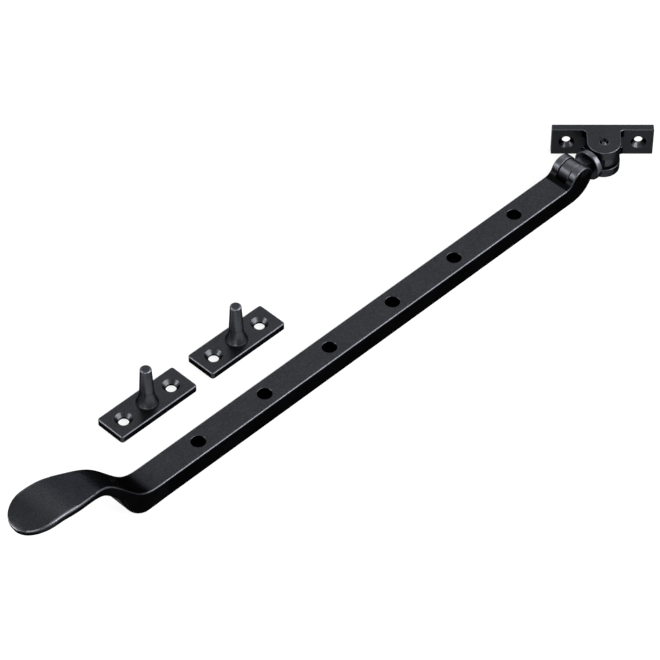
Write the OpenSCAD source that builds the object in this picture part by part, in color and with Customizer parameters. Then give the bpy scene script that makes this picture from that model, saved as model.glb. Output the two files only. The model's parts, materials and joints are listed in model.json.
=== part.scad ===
// Casement window stay: a bar arm with peg holes and a raised paddle handle, hinged by a
// swivel link to a screw-on bracket, with two loose peg plates.
// Millimetres. Origin: centre of the bracket's back face. +Y: out of that face. +Z: up.

/* [Mounting bracket] */
// Length of the screw plate
bracket_w = 43.2; // [36:0.1:70]
// Height of the screw plate, and of the pair of ears on it
bracket_h = 13.8; // [11:0.1:20]
// Thickness of the screw plate
plate_t = 3.5; // [2.6:0.1:6]
// Distance from the plate's front face to the swivel pin
pin_out = 7.4; // [7.2:0.1:14]
// Radius of the ears round the swivel pin
ear_r = 7.2; // [5:0.1:9]
// Thickness of each ear
ear_t = 4.1; // [2:0.1:4.4]
// Fillet between the ears and the plate
ear_fillet = 1.8; // [0.5:0.1:3]
// Distance between the two screw holes
screw_spacing = 30.6; // [28:0.1:50]
// Diameter of the screw holes
screw_d = 3.6; // [3:0.1:5]
// Diameter of the countersinks on the bracket
screw_head_d = 6.6; // [5.5:0.1:7]
// Straight land left in each screw hole between its countersinks
screw_land = 0.9; // [0.3:0.1:1.2]

/* [Swivel link] */
// Diameter of the vertical swivel pin
swivel_pin_d = 4.6; // [3:0.1:6]
// Diameter of the dimple in each end of the swivel pin
pin_dimple_d = 4; // [1.4:0.1:4.2]
// Diameter of the dimple's flat bottom
dimple_tip_d = 2.4; // [0.4:0.1:3]
// Radius of the eye that turns between the bracket's ears
eye_r = 6; // [4.5:0.1:7]
// Width of the web between the eye and the collar
web_w = 9; // [6:0.1:10]
// Radius of the round collar
collar_r = 6.8; // [4:0.1:7]
// Thickness of the round collar
collar_t = 2.6; // [1.5:0.1:6]
// Gap between the bracket's ears and the collar
collar_gap = 0.8; // [0.4:0.1:3]
// Diameter of the horizontal tilt pin
tilt_pin_d = 4; // [2.5:0.1:6]
// Radius of the barrel that tilts between the fork's ears
barrel_r = 5.8; // [3.8:0.1:6.2]
// Height of the neck between the collar and the barrel
neck_h = 7; // [4:0.1:8]
// Radial play of the link on each pin
run_gap = 0.05; // [0.02:0.01:0.1]
// Side play of the link between each pair of ears
side_gap = 0.15; // [0.1:0.05:0.4]

/* [Arm] */
// Width of the bar
arm_w = 12.7; // [10:0.1:16]
// Thickness of the bar
arm_t = 9.1; // [8:0.1:13]
// Angle between the bracket's face and the arm, as laid out
arm_angle = 45; // [30:1:60]
// Radius of the fork's ears round the tilt pin
fork_r = 6.15; // [4.5:0.05:7]
// Thickness of each fork ear
fork_ear_t = 3.4; // [2:0.1:4]
// Fillet between the fork's ears and the bar's top
fork_fillet = 4.2; // [0.6:0.1:6]
// Distance from the tilt pin to the foot of the curve under the fork
fork_bow = 4.6; // [3:0.1:9]
// Gap between the barrel and the end of the fork's slot
slot_gap = 1.2; // [0.4:0.1:3]
// Gap between the fork and the collar when the arm hangs down
tilt_gap = 0.6; // [0.3:0.1:3]
// Diameter of the peg holes
hole_d = 6.2; // [5:0.1:8]
// Number of peg holes
hole_count = 6; // [2:1:9]
// Distance between neighbouring peg holes
hole_pitch = 36; // [20:0.5:50]
// Distance from the tilt pin to the first peg hole
first_hole = 35.2; // [20:0.1:60]
// Distance from the last peg hole to the bend
bend_lead = 28; // [8:0.1:60]

/* [Handle] */
// Length of the handle from the bend to its tip, seen from above
handle_len = 65.8; // [60:0.1:90]
// Height of the paddle's heel over the bar's top
handle_lift = 22; // [16:0.1:26]
// Slope of the steep rise
rise_angle = 49.5; // [40:0.5:56]
// Radius of the bend's top side
bend_r = 13; // [8:0.5:18]
// Radius of the crest
crest_r = 21; // [12:0.1:24]
// Slope of the paddle behind its tip
paddle_angle = 16.5; // [8:0.5:20]
// Length of the paddle's end that curves down, seen from above
droop_len = 23.2; // [16:0.1:26]
// Radius of that curve
droop_r = 34.3; // [32:0.1:120]
// How fast the thickness falls off up the rise
heel_fade = 3.4; // [2.4:0.1:4]
// How much the heel of the bend swells
heel_swell = 7.7; // [5:0.1:10]
// Thickness of the neck at the crest
neck_t = 4.5; // [3:0.1:6]
// Thickness of the paddle
paddle_t = 3.1; // [2:0.1:4.5]
// Width of the neck
neck_w = 12.6; // [9:0.1:14]
// Greatest width of the paddle
paddle_w = 20.7; // [16:0.1:24]
// Distance from the bend to the narrowest part of the neck
neck_at = 18.7; // [12:0.1:26]
// Distance from the bend to the widest part of the paddle
belly_at = 44.6; // [36:0.1:50]
// Length of the paddle's rounded tip
tip_l = 13.2; // [8:0.1:16]

/* [Peg plates] */
// Length of a peg plate
peg_l = 40.6; // [36:0.1:60]
// Width of a peg plate
peg_w = 14.7; // [12:0.1:20]
// Thickness of a peg plate
peg_t = 3; // [1.6:0.1:4]
// Corner radius of a peg plate
peg_corner = 1.2; // [0.4:0.1:4]
// Distance between a peg plate's screw holes
peg_spacing = 25.6; // [22:0.1:28]
// Diameter of a peg plate's screw holes
peg_screw_d = 4.4; // [3:0.1:5]
// Diameter of a peg plate's countersinks
peg_head_d = 7.4; // [6:0.1:8]
// Diameter of the stud's top
stud_top_d = 4.8; // [3:0.1:5]
// Play of the stud's root in a peg hole
stud_play = 0.2; // [0.2:0.1:2]
// Diameter of the stud's flared foot
stud_foot_d = 9.4; // [7.6:0.1:11]
// Height of the stud's flare, on whose top the bar rests
flare_h = 7; // [1:0.1:9]
// Height of the rim under the stud's flare
foot_edge = 0.4; // [0.1:0.1:1.5]
// Radius of the stud's rounded top edge
stud_round = 0.7; // [0.2:0.1:1.4]
// Height of the stud above the bar that it holds
stud_over = 2.5; // [0:0.1:10]
// Diameter of the stud's rivet in the plate
rivet_d = 4.6; // [3:0.1:6]
// Distance along the arm from the tilt pin to the nearer peg plate
peg_start = 162.3; // [60:0.1:200]
// Distance between the two peg plates along the arm
peg_step = 48.9; // [44:0.1:70]
// Gap between the arm and the peg plates
peg_gap = 20; // [5:0.1:60]

/* [Hidden] */
$fn = 64;

black = [0.17, 0.17, 0.175];
cut = 1;

// Heights above the surface that everything lies on
mid_z = bracket_h / 2;
tilt_z = arm_t;

// The bracket
pin_y = -(plate_t + pin_out);
eye_h = bracket_h - 2 * ear_t - 2 * side_gap;

// The link, measured along the arm from the swivel pin
collar_back = ear_r + collar_gap;
collar_front = collar_back + collar_t;
tilt_s = collar_front + max(fork_r, tilt_z) + tilt_gap;
slot_w = arm_w - 2 * fork_ear_t;
slot_end = tilt_s + barrel_r + slot_gap;
barrel_l = slot_w - 2 * side_gap;

// The fork's outline: bow, ear and fillet arcs that run into each other
ear_c = [tilt_s, tilt_z];
bow_r = (pow(fork_bow, 2) + pow(tilt_z, 2) - pow(fork_r, 2)) / (2 * (tilt_z - fork_r));
bow_c = [tilt_s + fork_bow, bow_r];
bow_a = 180 + atan2(bow_c.y - ear_c.y, bow_c.x - ear_c.x);
fillet_z = arm_t + fork_fillet;
fillet_c = [tilt_s + sqrt(pow(fork_r + fork_fillet, 2) - pow(fillet_z - tilt_z, 2)), fillet_z];
fillet_a = atan2(fillet_c.y - ear_c.y, fillet_c.x - ear_c.x);

// The handle's top line: bend, ramp, crest, flat and droop, one after the other
bend_s = tilt_s + first_hole + (hole_count - 1) * hole_pitch + bend_lead;
crest_turn = cos(paddle_angle) - cos(rise_angle);
ramp_rise = handle_lift - bend_r * (1 - cos(rise_angle)) - crest_r * crest_turn;
ramp_l = ramp_rise / sin(rise_angle);
crest_end_s = bend_r * sin(rise_angle) + ramp_l * cos(rise_angle)
    + crest_r * (sin(rise_angle) - sin(paddle_angle));
flat_l = (handle_len - droop_len - crest_end_s) / cos(paddle_angle);
droop_a = paddle_angle - asin(sin(paddle_angle) - (droop_len + cut) / droop_r);
bend_l = bend_r * rise_angle * PI / 180;
crest_l = crest_r * (rise_angle - paddle_angle) * PI / 180;
droop_l = droop_r * droop_a * PI / 180;
line_l = bend_l + ramp_l + crest_l + flat_l + droop_l;
line_steps = 52;

// The pegs
stud_root_d = hole_d - stud_play;
seat_z = peg_t + foot_edge + flare_h;
stud_h = seat_z + arm_t + stud_over;
flare_w = (stud_foot_d - stud_root_d) / 2;
flare_r = (pow(flare_w, 2) + pow(flare_h, 2)) / (2 * flare_w);
peg_side = -(arm_w + peg_w) / 2 - peg_gap;

function smooth(x) = let (t = min(1, max(0, x))) t * t * (3 - 2 * t);
function mix(a, b, x) = a + (b - a) * smooth(x);
function arc(c, r, a0, a1, steps) =
    [for (i = [0:steps]) let (a = a0 + (a1 - a0) * i / steps) c + r * [cos(a), sin(a)]];

// A place [along, up, heading] at a length u on an arc or a line; a negative radius turns down
function on_arc(p, r, u) = let (h = p.z, a = h + u / r * 180 / PI)
    [p.x + r * (sin(a) - sin(h)), p.y + r * (cos(h) - cos(a)), a];
function on_line(p, u) = [p.x + u * cos(p.z), p.y + u * sin(p.z), p.z];

bend_from = [bend_s, arm_t, 0];
ramp_from = on_arc(bend_from, bend_r, bend_l);
crest_from = on_line(ramp_from, ramp_l);
flat_from = on_arc(crest_from, -crest_r, crest_l);
droop_from = on_line(flat_from, flat_l);
function handle_at(u) =
    u < bend_l ? on_arc(bend_from, bend_r, u)
    : u < bend_l + ramp_l ? on_line(ramp_from, u - bend_l)
    : u < bend_l + ramp_l + crest_l ? on_arc(crest_from, -crest_r, u - bend_l - ramp_l)
    : u < line_l - droop_l ? on_line(flat_from, u - bend_l - ramp_l - crest_l)
    : on_arc(droop_from, -droop_r, u - line_l + droop_l);
// Thickness at a length u: full round the heel of the bend, then falling to the neck and the paddle
function handle_t(u) = let (x = u / (bend_l + ramp_l))
    x < 1 ? neck_t + (arm_t - neck_t) * pow(1 - x, heel_fade) * (1 + heel_swell * x)
    : mix(neck_t, paddle_t, (u - bend_l - ramp_l) / (crest_l + flat_l / 2));
function top_at(u) = let (p = handle_at(u)) [p.x, p.y];
function under_at(u) = let (p = handle_at(u), t = handle_t(u))
    [p.x + t * sin(p.z), max(0, p.y - t * cos(p.z))];
line_u = [for (i = [0:line_steps]) line_l * i / line_steps];

// Half the width of the handle at a distance x from the bend
function half_w(x) =
    x < neck_at ? mix(arm_w, neck_w, x / neck_at) / 2
    : mix(neck_w, paddle_w, (x - neck_at) / (belly_at - neck_at)) / 2;
paddle_c = bend_s + handle_len - tip_l;
plan_steps = 28;
plan_side = [for (i = [0:plan_steps]) let (x = belly_at * i / plan_steps) [bend_s + x, half_w(x)]];

// Side outline of the arm: [along, up]
arm_side = concat(
    arc(bow_c, bow_r, 270, bow_a, 10),
    arc(ear_c, fork_r, bow_a, fillet_a, 22),
    arc(fillet_c, fork_fillet, 180 + fillet_a, 270, 10),
    [for (u = line_u) top_at(u)],
    [for (i = [line_steps:-1:0]) under_at(line_u[i])]
);

// Outline of the arm from above: [along, across]
arm_plan = concat(
    [[collar_front, -arm_w / 2]],
    [for (p = plan_side) [p.x, -p.y]],
    [for (p = arc([0, 0], 1, -90, 90, 28)) [paddle_c + tip_l * p.x, paddle_w / 2 * p.y]],
    [for (i = [plan_steps:-1:0]) plan_side[i]],
    [[collar_front, arm_w / 2]]
);

// Moves a shape drawn along the arm, with the table at z 0, to its place
module along_arm() {
    translate([0, pin_y, -mid_z]) rotate([0, 0, 180 + arm_angle]) children();
}

// A bar lying across the arm, centred on it
module across(s, z, r, l) {
    translate([s, 0, z]) rotate([90, 0, 0]) cylinder(r = r, h = l, center = true);
}

// A hole along Z through a wall from 0 to t, countersunk from the top and, as far as its land, from below
module screw_hole(d, head_d, t) {
    sink = (head_d - d) / 2;
    relief = max(0, min(sink, t - sink - screw_land));
    translate([0, 0, -cut]) cylinder(d = d, h = t + 2 * cut);
    translate([0, 0, t - sink]) cylinder(d1 = d, d2 = head_d, h = sink);
    translate([0, 0, t]) cylinder(d = head_d, h = cut);
    if (relief > 0) {
        cylinder(d1 = d + 2 * relief, d2 = d, h = relief);
        translate([0, 0, -cut]) cylinder(d = d + 2 * relief, h = cut);
    }
}

// Plan of an ear with its fillets to the plate
module ear_plan() {
    root = pin_out - ear_fillet;
    translate([0, pin_y]) circle(ear_r);
    translate([-ear_r, pin_y]) square([2 * ear_r, pin_out + cut]);
    for (side = [-1, 1]) {
        difference() {
            translate([side * (ear_r + ear_fillet / 2), -plate_t + (cut - ear_fillet) / 2])
                square([ear_fillet, ear_fillet + cut], center = true);
            translate([side * (ear_r + ear_fillet), pin_y + root]) circle(ear_fillet);
        }
    }
}

module mounting_bracket() {
    color(black) difference() {
        union() {
            translate([-bracket_w / 2, -plate_t, -mid_z]) cube([bracket_w, plate_t, bracket_h]);
            for (z = [-mid_z, mid_z - ear_t]) {
                translate([0, 0, z]) linear_extrude(ear_t) ear_plan();
            }
        }
        for (side = [-1, 1]) {
            translate([side * screw_spacing / 2, 0, 0]) rotate([90, 0, 0])
                screw_hole(screw_d, screw_head_d, plate_t);
        }
        translate([0, pin_y, 0]) cylinder(d = swivel_pin_d, h = bracket_h + 2 * cut, center = true);
    }
}

module swivel_pin() {
    deep = (pin_dimple_d - dimple_tip_d) / 2;
    color(black) translate([0, pin_y, 0]) difference() {
        cylinder(d = swivel_pin_d, h = bracket_h, center = true);
        for (side = [0, 1]) {
            mirror([0, 0, side]) translate([0, 0, mid_z - deep])
                cylinder(d1 = dimple_tip_d, d2 = pin_dimple_d, h = deep);
        }
    }
}

module swivel_link() {
    color(black) along_arm() difference() {
        union() {
            translate([0, 0, mid_z]) cylinder(r = eye_r, h = eye_h, center = true);
            translate([0, -web_w / 2, mid_z - eye_h / 2]) cube([collar_back + collar_t / 2, web_w, eye_h]);
            translate([collar_back, 0, mid_z]) rotate([0, 90, 0]) cylinder(r = collar_r, h = collar_t);
            translate([0, barrel_l / 2, 0]) rotate([90, 0, 0]) linear_extrude(barrel_l) polygon([
                [collar_front - collar_t / 2, mid_z - neck_h / 2],
                [tilt_s, tilt_z - neck_h / 2],
                [tilt_s, tilt_z + neck_h / 2],
                [collar_front - collar_t / 2, mid_z + neck_h / 2]
            ]);
            across(tilt_s, tilt_z, barrel_r, barrel_l);
        }
        translate([0, 0, mid_z]) cylinder(r = swivel_pin_d / 2 + run_gap, h = bracket_h, center = true);
        across(tilt_s, tilt_z, tilt_pin_d / 2 + run_gap, arm_w);
    }
}

module tilt_pin() {
    color(black) along_arm() across(tilt_s, tilt_z, tilt_pin_d / 2, arm_w);
}

module stay_arm() {
    tall = arm_t + handle_lift + handle_len;
    color(black) along_arm() difference() {
        intersection() {
            translate([0, paddle_w, 0]) rotate([90, 0, 0]) linear_extrude(2 * paddle_w) polygon(arm_side);
            translate([0, 0, -cut]) linear_extrude(tall) polygon(arm_plan);
        }
        translate([collar_front, -slot_w / 2, -cut])
            cube([slot_end - collar_front, slot_w, tilt_z + fork_r + 2 * cut]);
        across(tilt_s, tilt_z, tilt_pin_d / 2, arm_w + 2 * cut);
        for (i = [0:hole_count - 1]) {
            translate([tilt_s + first_hole + i * hole_pitch, 0, -cut])
                cylinder(d = hole_d, h = arm_t + 2 * cut);
        }
    }
}

// Puts a peg piece at its place beside the arm
module at_peg(i) {
    along_arm() translate([tilt_s + peg_start + i * peg_step, peg_side, 0]) children();
}

module peg_plate(i) {
    color(black) at_peg(i) difference() {
        linear_extrude(peg_t) {
            square([peg_l - 2 * peg_corner, peg_w], center = true);
            square([peg_l, peg_w - 2 * peg_corner], center = true);
            for (x = [-1, 1], y = [-1, 1]) {
                translate([x * (peg_l / 2 - peg_corner), y * (peg_w / 2 - peg_corner)]) circle(peg_corner);
            }
        }
        for (side = [-1, 1]) {
            translate([side * peg_spacing / 2, 0, 0]) screw_hole(peg_screw_d, peg_head_d, peg_t);
        }
        translate([0, 0, -cut]) cylinder(d = rivet_d, h = peg_t + 2 * cut);
    }
}

module peg_stud(i) {
    flare_c = [stud_root_d / 2 + flare_r, seat_z];
    flare_a = 2 * atan(flare_w / flare_h);
    top_c = [stud_top_d / 2 - stud_round, stud_h - stud_round];
    color(black) at_peg(i) rotate_extrude() polygon(concat(
        [[0, 0], [rivet_d / 2, 0], [rivet_d / 2, peg_t], [stud_foot_d / 2, peg_t]],
        arc(flare_c, flare_r, 180 + flare_a, 180, 8),
        arc(top_c, stud_round, 0, 90, 6),
        [[0, stud_h]]
    ));
}

module peg_plate_1() { peg_plate(0); }
module peg_stud_1() { peg_stud(0); }
module peg_plate_2() { peg_plate(1); }
module peg_stud_2() { peg_stud(1); }

mounting_bracket();
swivel_pin();
swivel_link();
tilt_pin();
stay_arm();
peg_plate_1();
peg_stud_1();
peg_plate_2();
peg_stud_2();
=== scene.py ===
import json
import math

import bmesh
import bpy
from bpy.props import FloatProperty, FloatVectorProperty, PointerProperty
from mathutils import Matrix, Vector


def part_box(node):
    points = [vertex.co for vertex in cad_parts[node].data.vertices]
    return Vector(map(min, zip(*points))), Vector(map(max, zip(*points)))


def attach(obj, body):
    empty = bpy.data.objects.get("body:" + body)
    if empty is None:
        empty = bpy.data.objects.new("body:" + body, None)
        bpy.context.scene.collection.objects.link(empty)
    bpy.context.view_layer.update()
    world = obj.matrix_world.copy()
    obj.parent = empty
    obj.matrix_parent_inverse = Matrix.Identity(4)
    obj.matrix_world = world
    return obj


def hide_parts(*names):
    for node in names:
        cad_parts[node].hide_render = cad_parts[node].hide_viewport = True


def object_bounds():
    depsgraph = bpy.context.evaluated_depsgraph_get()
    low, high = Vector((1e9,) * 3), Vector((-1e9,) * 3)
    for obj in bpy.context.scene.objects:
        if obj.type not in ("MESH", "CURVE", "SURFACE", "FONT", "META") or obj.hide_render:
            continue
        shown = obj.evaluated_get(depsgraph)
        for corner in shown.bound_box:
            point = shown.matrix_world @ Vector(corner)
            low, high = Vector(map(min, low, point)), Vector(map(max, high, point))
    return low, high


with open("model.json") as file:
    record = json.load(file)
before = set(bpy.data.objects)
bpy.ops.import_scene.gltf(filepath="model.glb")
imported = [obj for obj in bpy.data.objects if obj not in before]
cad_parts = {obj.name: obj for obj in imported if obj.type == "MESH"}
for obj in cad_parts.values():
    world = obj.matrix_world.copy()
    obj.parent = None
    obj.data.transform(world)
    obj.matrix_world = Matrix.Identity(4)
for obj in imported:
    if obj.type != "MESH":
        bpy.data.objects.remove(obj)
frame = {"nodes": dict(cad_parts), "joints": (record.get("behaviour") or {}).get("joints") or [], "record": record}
CAD_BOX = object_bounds()

bl_info = {
    "name": "Casement Window Stay",
    "version": (1, 0, 0),
    "blender": (4, 5, 0),
    "location": "3D View > Sidebar > Window Stay",
    "description": "Builds the pieces of a forged casement window stay over its packed frame",
    "category": "Add Mesh",
}

MM = 0.001
# Lengths under which places count as one: in a test, at a pole, after a cut and at the handle's seam
TINY, POLE, WELD, SEAM = 1e-6, 1e-7, 2e-6, 1e-5
# Straight piece of bar that is bent together with the handle
LEAD = 6 * MM

# Painted light in the coat's colour: a painted highlight on rims and painted shade in hollows. Curvatures are one
# over the
# radius in metres: at the first the paint starts, at the second it is full. Of curved places only upright walls in
# hollows take painted shade.
HIGHLIGHT_CURVES = (90, 500)
SHADE_CURVES = (200, 300)
# Hollows that face up take less painted highlight than rims
HOLLOW_HIGHLIGHT = 0.45
# A wall is upright where its normal rises or falls less than this
UPRIGHT = 0.3
# How fast faces gain painted highlight as they turn from upright to facing up
FACING = 4
# How fast the fork's round top goes from painted highlight to painted shade on its way down to the bar
FORK_SHADE_RATE = 2.2
# Share of the painted shade in the bend, the length over which it grows, and where and over what length
# it fades
BEND_SHADE = 0.7
SHADE_GROWS, SHADE_FADES, SHADE_TAIL = 14 * MM, 14 * MM, 8 * MM
# Share of the coat's colour that is left where the painted shade is full
DARKEST_SHADE = 0.15

# Grain of a forged and of a turned piece: its scale, and the depth of its bumps
FORGED_GRAIN = (2000, 0.06 * MM)
TURNED_GRAIN = (3200, 0.04 * MM)
# Scale of the clouds in the coat, the detail of both noises, and the range that most of their values lie in
CLOUD_SCALE = 90
GRAIN_DETAIL, CLOUD_DETAIL = 3, 4
NOISE_RANGE = (0.3, 0.7)
# How far the grain and the clouds change the colour, and the clouds the roughness: least and most
GRAIN_SHADE, CLOUD_SHADE, CLOUD_GLOSS = (0.68, 1.32), (0.9, 1.1), (0.9, 1.12)
# Strength of the grain's bumps, and how far the coat mirrors as a metal does
BUMP, METAL = 0.35, 0.96
# Pins are a little glossier than the rest
PIN_GLOSS = 0.9

# Rings of a round dome, as shares of its radius
DOME_RINGS = (1, 0.8, 0.6, 0.4, 0.2, 0)

# Lamps: name, the setting for its power, its place from the middle of the object, its width and height
LAMPS = [
    ("left softbox", "left", (-0.85, -0.1, 0.5), (0.45, 0.5)),
    ("right softbox", "right", (0.78, -0.2, 0.55), (1.2, 0.6)),
    ("front strip", "front", (-0.25, -0.95, 0.14), (0.5, 0.16)),
    ("low strip", "low", (-0.85, -0.5, 0.16), (0.15, 0.15)),
    ("low strip", "low", (0.85, -0.5, 0.16), (0.15, 0.15)),
    ("back softbox", "back", (0.12, 0.82, 0.5), (1.1, 0.9)),
]
# The floor: half its size, its gap under the object, and the share of light that it throws back
FLOOR_HALF, FLOOR_GAP, FLOOR_BOUNCE = 4, 0.05 * MM, 0.25
# Width of the camera's sensor in millimetres
SENSOR = 36

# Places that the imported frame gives: the two pins, the peg holes and the surface that everything lies on
JOINTS = {joint["name"]: joint for joint in frame["joints"]}
MOUNTS = {mount["name"]: mount for mount in frame["record"]["mounts"]}
SWIVEL = Vector(JOINTS["swivel"]["pos_m"])
TILT = Vector(JOINTS["tilt"]["pos_m"])
ACROSS = Vector(JOINTS["tilt"]["axis"]).normalized()
UP = Vector((0, 0, 1))
ALONG = UP.cross(ACROSS) * -1
TABLE_Z = CAD_BOX[0].z
# Heights over that surface: the middle of the bracket, where the frame's origin is, and the tilt pin
MID_Z = -TABLE_Z
TILT_Z = TILT.z - TABLE_Z
# Distances along the arm from the swivel pin: the tilt pin, the peg holes and the handle's tip
TILT_S = (TILT - SWIVEL).dot(ALONG)
HOLES = [mount for name, mount in MOUNTS.items() if name.startswith("peg_hole_")]
HOLE_S = [(Vector(mount["pos_m"]) - SWIVEL).dot(ALONG) for mount in HOLES]
HOLE_R = HOLES[0]["dims"]["r_mm"] * MM
TIP_S = max((vertex.co - SWIVEL).dot(ALONG) for vertex in frame["nodes"]["stay_arm"].data.vertices)

# Turns a shape drawn as (along the arm, across it, up from the table) into the frame, and places it there
ARM_TURN = Matrix((ALONG, ACROSS, UP)).transposed().to_4x4()
ARM_FRAME = Matrix.Translation((SWIVEL.x, SWIVEL.y, TABLE_Z)) @ ARM_TURN


def length(name, description, value):
    """A length in millimetres as a user's property."""
    return FloatProperty(name=name, description=description, default=value * MM, unit="LENGTH", precision=5)


def angle(name, description, degrees):
    """An angle in degrees as a user's property."""
    return FloatProperty(name=name, description=description, default=math.radians(degrees), subtype="ANGLE")


def paint(name, description, value):
    """A colour as a user's property."""
    return FloatVectorProperty(name=name, description=description, default=value, subtype="COLOR")


def amount(name, description, value, subtype="NONE", unit="NONE"):
    """A number as a user's property."""
    return FloatProperty(name=name, description=description, default=value, subtype=subtype, unit=unit)


class StayArmSizes(bpy.types.PropertyGroup):
    """Sizes of the arm: bar, fork and handle."""

    width: length("Bar width", "Width of the bar", 12.7)
    edge: length("Edge radius", "Rounding of the bar's long edges on top", 0.5)
    foot_edge: length("Foot edge", "Rounding of the bar's long edges below", 0.25)
    fork_r: length("Fork radius", "Radius of the fork's ears round the tilt pin", 6.15)
    ear_t: length("Fork ear", "Thickness of each fork ear", 3.4)
    fillet: length("Fork fillet", "Fillet between the fork's ears and the bar's top", 4.2)
    bow: length("Fork bow", "Distance from the tilt pin to the foot of the curve under the fork", 4.6)
    slot_gap: length("Slot gap", "Gap between the barrel and the end of the fork's slot", 1.2)
    slot_edge: length("Slot edge", "Rounding of the slot's rims", 0.35)
    hole_edge: length("Hole edge", "Chamfer round the peg holes", 0.1)
    handle: length("Handle length", "Length of the handle from the bend to its tip, seen from above", 65.8)
    lift: length("Handle lift", "Height of the paddle's heel over the bar's top", 22.0)
    rise: angle("Rise", "Slope of the steep rise", 49.5)
    bend_r: length("Bend radius", "Radius of the bend's top side", 13.0)
    crest_r: length("Crest radius", "Radius of the crest", 21.0)
    slope: angle("Paddle slope", "Slope of the paddle behind its tip", 16.5)
    droop: length("Droop length", "Length of the paddle's end that curves down, seen from above", 23.2)
    droop_r: length("Droop radius", "Radius of that curve", 34.3)
    neck_t: length("Neck thickness", "Thickness of the neck at the crest", 4.5)
    paddle_t: length("Paddle thickness", "Thickness of the paddle", 3.1)
    neck_w: length("Neck width", "Width of the neck", 12.6)
    paddle_w: length("Paddle width", "Greatest width of the paddle", 20.7)
    neck_at: length("Neck place", "Distance from the bend to the narrowest part of the neck", 18.7)
    belly_at: length("Belly place", "Distance from the bend to the widest part of the paddle", 44.6)
    near_lag: length("Near lag", "How much farther from the bend the near edge swells", 2.1)
    tip_l: length("Tip length", "Length of the paddle's rounded tip", 13.2)
    fade: amount("Heel fade", "How fast the thickness falls off up the rise", 3.4)
    swell: amount("Heel swell", "How much the heel of the bend swells", 7.7)
    under_edge: length("Under edge", "Rounding of the gooseneck's underside", 1.2)
    paddle_edge: length("Paddle edge", "Rounding of the paddle's rim on top", 1.0)


class StayLinkSizes(bpy.types.PropertyGroup):
    """Sizes of the swivel link and the two pins."""

    swivel_d: length("Swivel pin", "Diameter of the vertical swivel pin", 4.6)
    tilt_d: length("Tilt pin", "Diameter of the horizontal tilt pin", 4.0)
    dimple_d: length("Dimple", "Diameter of the dimple in each end of the swivel pin", 4.0)
    dimple_tip: length("Dimple bottom", "Diameter of the dimple's flat bottom", 2.4)
    button: length("Button", "Height of the round button in the middle of each dimple", 0.55)
    dome: length("Pin dome", "Height of the tilt pin's peened ends", 0.06)
    play: length("Play", "Radial play of the link on each pin", 0.05)
    side: length("Side play", "Side play of the link between each pair of ears", 0.15)
    eye_r: length("Eye radius", "Radius of the eye between the bracket's ears", 6.0)
    web_w: length("Web width", "Width of the web between the eye and the collar", 9.0)
    collar_r: length("Collar radius", "Radius of the round collar", 6.8)
    collar_t: length("Collar thickness", "Thickness of the round collar", 2.6)
    collar_gap: length("Collar gap", "Gap between the bracket's ears and the collar", 0.8)
    barrel_r: length("Barrel radius", "Radius of the barrel between the fork's ears", 5.8)
    neck_h: length("Neck height", "Height of the neck between the collar and the barrel", 7.0)
    edge: length("Edge radius", "Rounding of the link's rims", 0.5)


class StayBracketSizes(bpy.types.PropertyGroup):
    """Sizes of the mounting bracket."""

    plate_t: length("Plate thickness", "Thickness of the screw plate", 3.5)
    ear_r: length("Ear radius", "Radius of the ears round the swivel pin", 7.2)
    ear_t: length("Ear thickness", "Thickness of each ear", 4.1)
    fillet: length("Ear fillet", "Fillet between the ears and the plate", 1.8)
    head_d: length("Countersink", "Diameter of the countersinks", 6.6)
    land: length("Screw land", "Straight land left in each screw hole", 0.9)
    edge: length("Edge radius", "Rounding of the bracket's edges", 0.25)


class StayPegSizes(bpy.types.PropertyGroup):
    """Sizes of the peg plates and their studs."""

    plate_l: length("Plate length", "Length of a peg plate", 40.6)
    plate_w: length("Plate width", "Width of a peg plate", 14.7)
    plate_t: length("Plate thickness", "Thickness of a peg plate", 3.0)
    corner: length("Corner radius", "Corner radius of a peg plate", 1.2)
    head_d: length("Countersink", "Diameter of a peg plate's countersinks", 7.4)
    edge: length("Edge radius", "Rounding of a peg plate's top edge", 0.5)
    top_d: length("Stud top", "Diameter of the stud's top", 4.8)
    root_d: length("Stud root", "Diameter of the stud over its flare", 6.0)
    foot_d: length("Stud foot", "Diameter of the stud's flared foot", 9.4)
    flare_h: length("Flare height", "Height of the stud's flare, on whose top the bar rests", 7.0)
    foot_edge: length("Foot rim", "Height of the rim under the stud's flare", 0.4)
    top_edge: length("Stud edge", "Radius of the stud's rounded top edge", 0.7)
    rivet_d: length("Rivet", "Diameter of the stud's rivet in the plate", 4.6)


class StayFinish(bpy.types.PropertyGroup):
    """Colours and gloss of the black coat, and the strength of its painted highlight and painted shade."""

    coat: paint("Coat", "Colour of the satin black coat", (0.0199, 0.0205, 0.0231))
    pin: paint("Pins", "Colour of the coat on the riveted pins", (0.0166, 0.017, 0.0191))
    # The studs' colour is lighter than the arm's coat: a painted highlight standing in for the light that their
    # turned sides catch
    stud: paint("Studs", "Colour of the coat on the turned studs", (0.0255, 0.0262, 0.0295))
    floor: paint("Floor", "Colour of the floor", (1.0, 1.0, 1.0))
    gloss: amount("Roughness", "Roughness of the coat", 0.3, "FACTOR")
    stud_gloss: amount("Stud roughness", "Roughness of the coat on the studs", 0.32, "FACTOR")
    # Painted light: a painted highlight on rims, a little on the paddle and on top of the fork and the barrel, and
    # painted shade on the fork, the barrel and the bend
    highlight_gain: amount("Rim polish", "How much brighter the handled rims are", 3.2)
    painted_light_share: amount("Worn paddle", "Share of that polish on the paddle", 0.06, "FACTOR")
    hinge_highlight: amount("Rubbed hinge", "Share of that polish on top of the fork and the barrel", 0.7, "FACTOR")
    painted_shade: amount("Grime", "How much grime dulls the fork, the barrel and the bend", 1.0, "FACTOR")


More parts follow.
